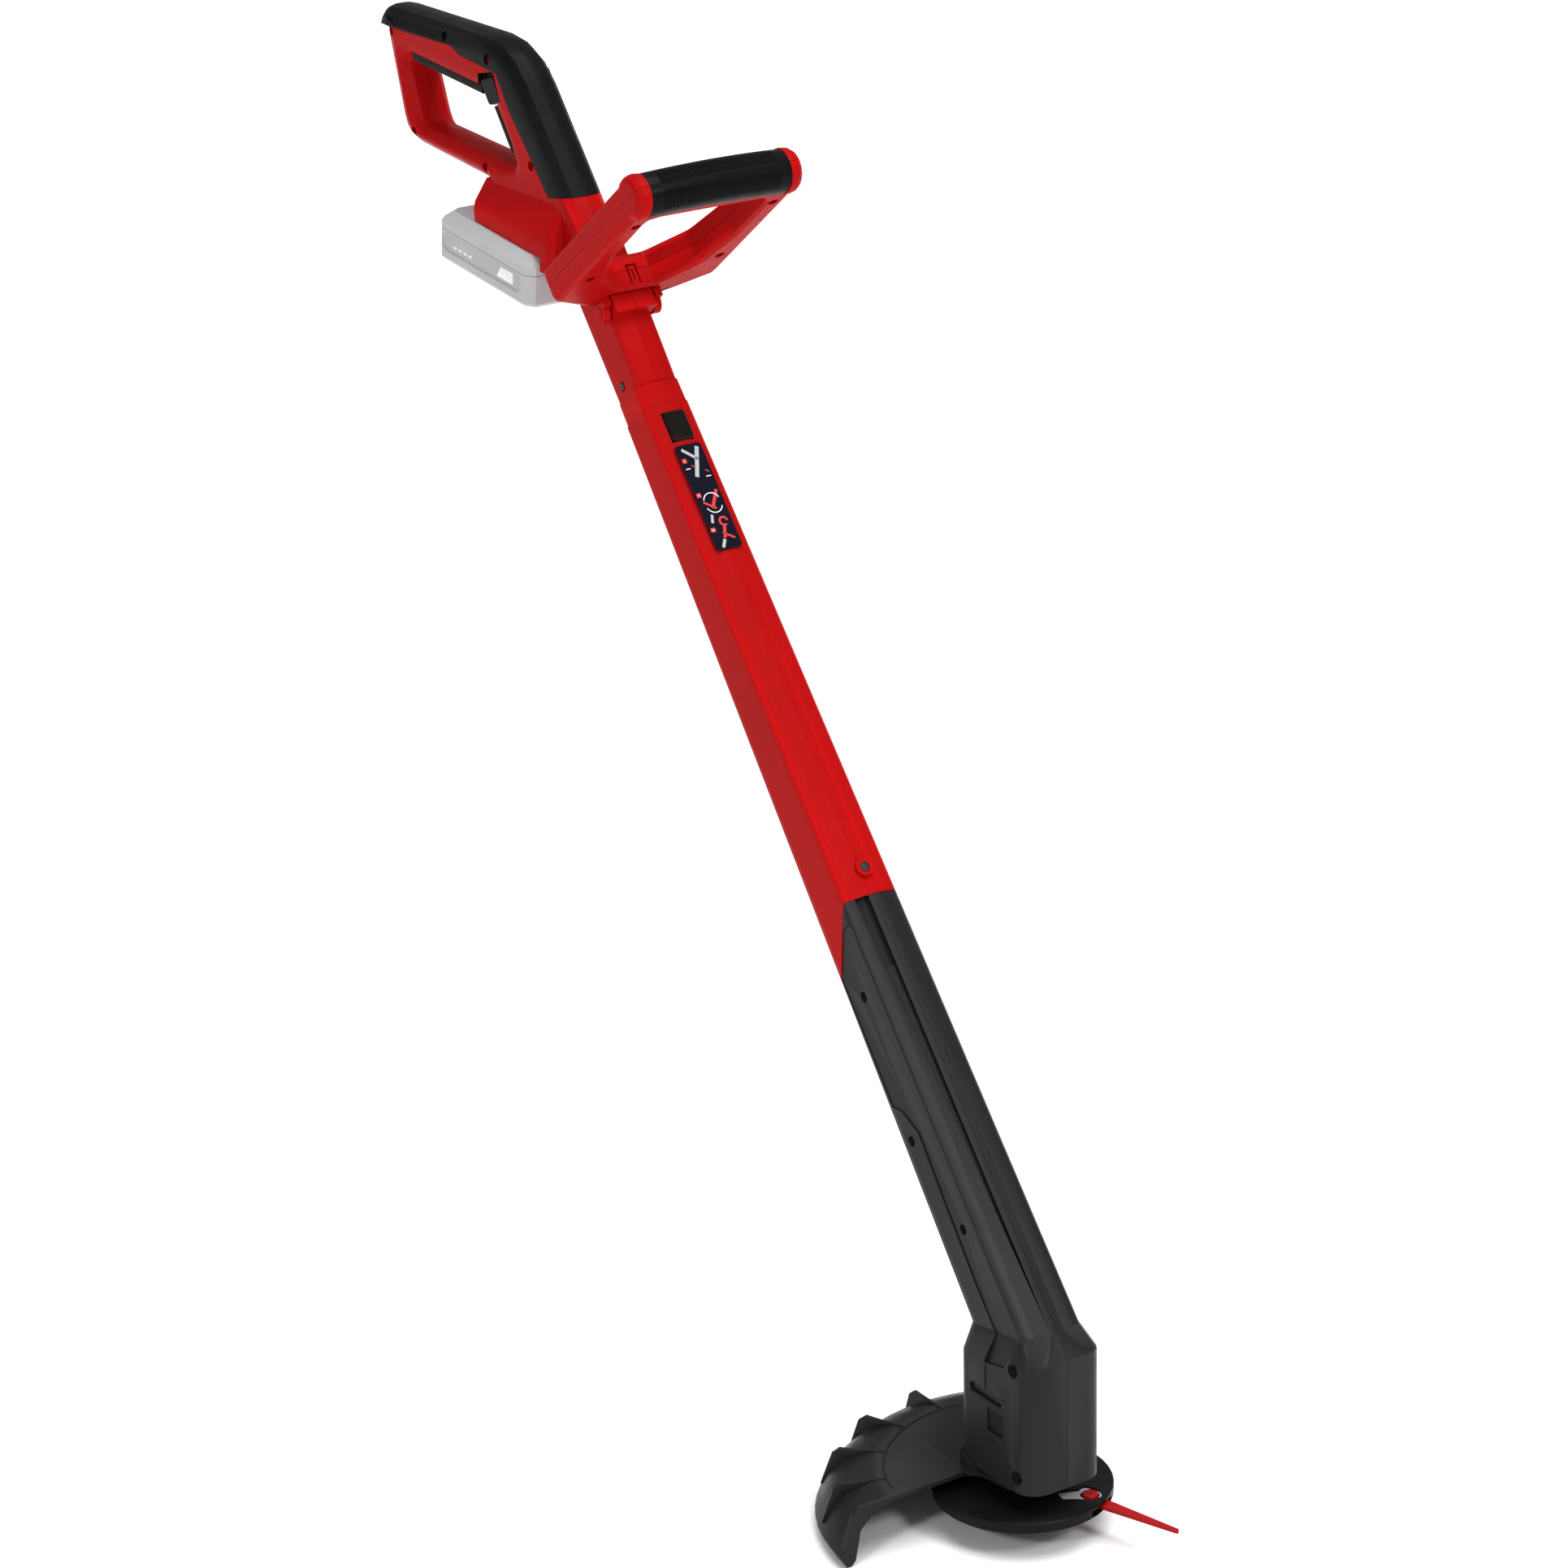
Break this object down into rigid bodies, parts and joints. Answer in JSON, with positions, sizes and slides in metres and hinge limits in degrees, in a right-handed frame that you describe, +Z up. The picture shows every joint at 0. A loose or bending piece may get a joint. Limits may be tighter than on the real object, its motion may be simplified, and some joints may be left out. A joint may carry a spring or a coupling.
{
  "type": "cordless string trimmer",
  "caption": "Cordless grass trimmer with a leaning shaft, spinning disc and swinging blade, guard, pull-off loop handle with slide-on battery and a fold-down front grip",
  "frame": {"origin": "centre of the cutting disc's underside, on the spin axis", "axes": "+X points forward, the way the front of the tool faces; +Z is up along the spin axis; the shaft leans back toward -X; the user's right is -Y"},
  "size_m": [0.874, 0.2455, 0.9045],
  "materials": {
    "red_plastic": "satin red moulded plastic",
    "dark_plastic": "satin charcoal moulded plastic",
    "black_plastic": "satin black moulded plastic",
    "gloss_black": "gloss black moulded plastic",
    "rubber": "soft black grip rubber",
    "label": "printed film",
    "battery_plastic": "light grey moulded plastic",
    "blade_red": "satin red moulded plastic",
    "steel": "machined steel",
    "dark_steel": "black oxide steel",
    "copper": "copper windings on a steel core",
    "cell_wrap": "shrink wrap",
    "wire": "cable sheath"
  },
  "bodies": {
    "frame": {"lower_housing_right": "dark_plastic", "lower_housing_left": "dark_plastic", "housing_screw_1": "dark_steel", "housing_screw_2": "dark_steel", "housing_screw_3": "dark_steel", "housing_screw_4": "dark_steel", "housing_screw_5": "dark_steel", "main_tube": "red_plastic", "tube_collar": "red_plastic", "tube_screw": "dark_steel", "instruction_label": "label", "cable_socket": "black_plastic", "motor_cable": "wire", "motor_can": "steel", "motor_end_cap": "black_plastic", "motor_bearing_upper": "steel", "motor_bearing_lower": "steel", "guard": "dark_plastic", "guard_screw": "dark_steel"},
    "cutting_head": {"motor_shaft": "steel", "motor_rotor": "copper", "cutting_disc": "black_plastic", "disc_nut": "steel"},
    "blade": {"cutting_blade": "blade_red"},
    "lock_button": {"shaft_lock_button": "gloss_black"},
    "rear_handle": {"handle_shell_right": "red_plastic", "handle_shell_left": "red_plastic", "soft_grip_right": "rubber", "soft_grip_left": "rubber", "loop_lining_right": "rubber", "loop_lining_left": "rubber", "column_lining_right": "rubber", "column_lining_left": "rubber", "handle_screw_1": "dark_steel", "handle_screw_2": "dark_steel", "handle_screw_3": "dark_steel", "handle_screw_4": "dark_steel", "handle_screw_5": "dark_steel", "handle_screw_6": "dark_steel", "handle_screw_7": "dark_steel", "trigger_pin": "steel", "switch_module": "black_plastic", "handle_cable": "wire", "cable_plug": "black_plastic", "spigot_tube": "steel", "terminal_block": "black_plastic"},
    "trigger": {"trigger": "black_plastic"},
    "lockoff": {"lockoff_button": "black_plastic"},
    "battery": {"battery_lid": "battery_plastic", "battery_base": "battery_plastic", "battery_cells": "cell_wrap"},
    "battery_release": {"battery_release_button": "battery_plastic"},
    "front_handle": {"front_handle_lower": "red_plastic", "front_handle_upper": "red_plastic", "front_grip": "rubber", "front_handle_screw_1": "dark_steel", "front_handle_screw_2": "dark_steel", "front_handle_screw_3": "dark_steel", "front_handle_screw_4": "dark_steel", "front_handle_screw_5": "dark_steel"}
  },
  "joints": [
    {"name": "disc_spin", "type": "hinge", "parent": "frame", "child": "cutting_head", "pos_m": [0, 0, 0], "axis": [0, 0, 1], "continuous": true},
    {"name": "blade_swing", "type": "hinge", "parent": "cutting_head", "child": "blade", "pos_m": [0.0415, 0.025, 0.003], "axis": [0, 0, 1], "range_deg": [-24, 24]},
    {"name": "shaft_lock", "type": "slide", "parent": "frame", "child": "lock_button", "axis": [-0.766, 0, -0.6428], "range_m": [0, 0.0025], "stiffness_N_per_m": 800, "springref_m": -0.002},
    {"name": "handle_pull_off", "type": "slide", "parent": "frame", "child": "rear_handle", "axis": [-0.6428, 0, 0.766], "range_m": [0, 0.12]},
    {"name": "trigger_pull", "type": "hinge", "parent": "rear_handle", "child": "trigger", "pos_m": [-0.5865, 0, 0.853], "axis": [0, 1, 0], "range_deg": [0, 7], "stiffness_Nm_per_rad": 0.8, "springref_deg": -6.88},
    {"name": "lockoff_press", "type": "slide", "parent": "rear_handle", "child": "lockoff", "axis": [0, -1, 0], "range_m": [0, 0.0016], "stiffness_N_per_m": 700, "springref_m": -0.002},
    {"name": "battery_slide", "type": "slide", "parent": "rear_handle", "child": "battery", "axis": [-0.9945, 0, 0.1045], "range_m": [0, 0.11]},
    {"name": "battery_release_press", "type": "slide", "parent": "battery", "child": "battery_release", "axis": [0.9945, 0, -0.1045], "range_m": [0, 0.003], "stiffness_N_per_m": 800, "springref_m": -0.002},
    {"name": "front_handle_fold", "type": "hinge", "parent": "rear_handle", "child": "front_handle", "pos_m": [-0.45341, 0, 0.71874], "axis": [0, 1, 0], "range_deg": [0, 62]}
  ]
}
